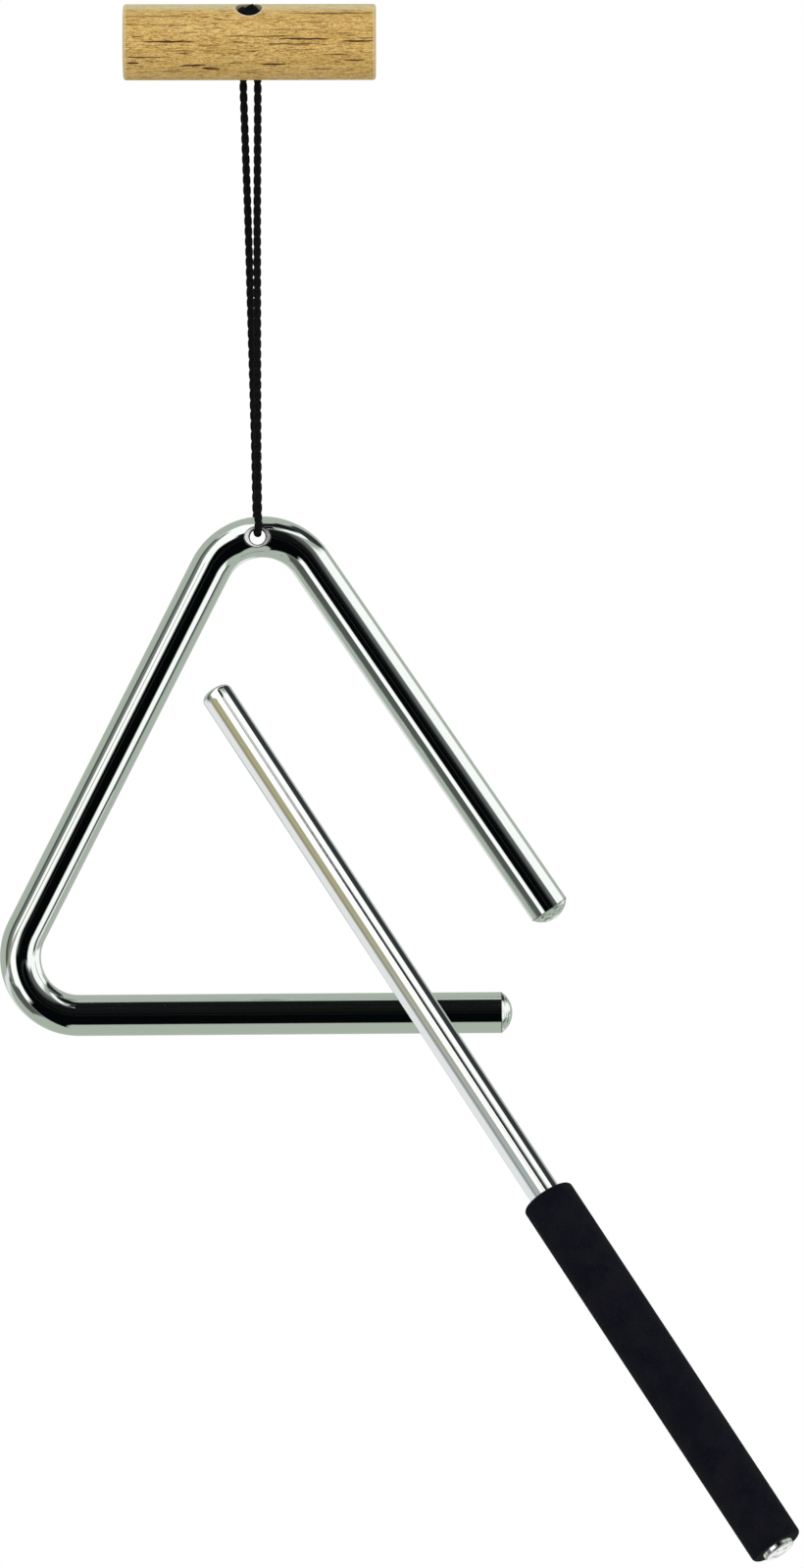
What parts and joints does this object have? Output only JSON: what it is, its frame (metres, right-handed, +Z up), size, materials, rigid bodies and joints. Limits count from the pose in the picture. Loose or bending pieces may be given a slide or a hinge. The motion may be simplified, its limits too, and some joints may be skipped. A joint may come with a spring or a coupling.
{
  "type": "triangle instrument",
  "caption": "Hand-held steel triangle on a looped cord from a wooden holder, with a loose metal beater that has a soft foam grip.",
  "frame": {"origin": "centre of the wooden holder, by which the instrument is held", "axes": "+X along the holder toward the triangle's open corner, +Y away from the viewer, +Z up; the triangle hangs in a plane along X and Z, straight below the cord"},
  "size_m": [0.1499, 0.1266, 0.2969],
  "materials": {
    "wood": "satin",
    "cord": "matt",
    "triangle_plating": "polished",
    "beater_plating": "bright",
    "foam": "matt"
  },
  "bodies": {
    "holder": {"wooden_holder": "wood", "cord_knot": "cord", "cord_in_bore": "cord"},
    "neck": {"cord_neck": "cord"},
    "upper_cord": {"cord_strands": "cord"},
    "lower_cord": {"cord_loop": "cord"},
    "triangle": {"triangle": "triangle_plating"},
    "beater": {"beater_rod": "beater_plating", "beater_grip": "foam"}
  },
  "joints": [
    {"name": "cord_sway", "type": "hinge", "parent": "holder", "child": "neck", "pos_m": [0, 0.0032, -0.00667], "axis": [0, 1, 0], "range_deg": [-15, 15]},
    {"name": "cord_swing", "type": "hinge", "parent": "neck", "child": "upper_cord", "pos_m": [0, 0.0032, -0.00915], "axis": [1, 0, 0], "range_deg": [-15, 15]},
    {"name": "cord_twist", "type": "hinge", "parent": "upper_cord", "child": "lower_cord", "pos_m": [0, 0.0032, -0.05], "axis": [0, 0, 1], "range_deg": [-180, 180]},
    {"name": "triangle_rock", "type": "hinge", "parent": "lower_cord", "child": "triangle", "pos_m": [0, 0.0032, -0.0964], "axis": [0, 1, 0], "range_deg": [-60, 60]},
    {"name": "beater_away", "type": "slide", "parent": "holder", "child": "beater", "axis": [0, -1, 0], "range_m": [0, 0.12]}
  ]
}
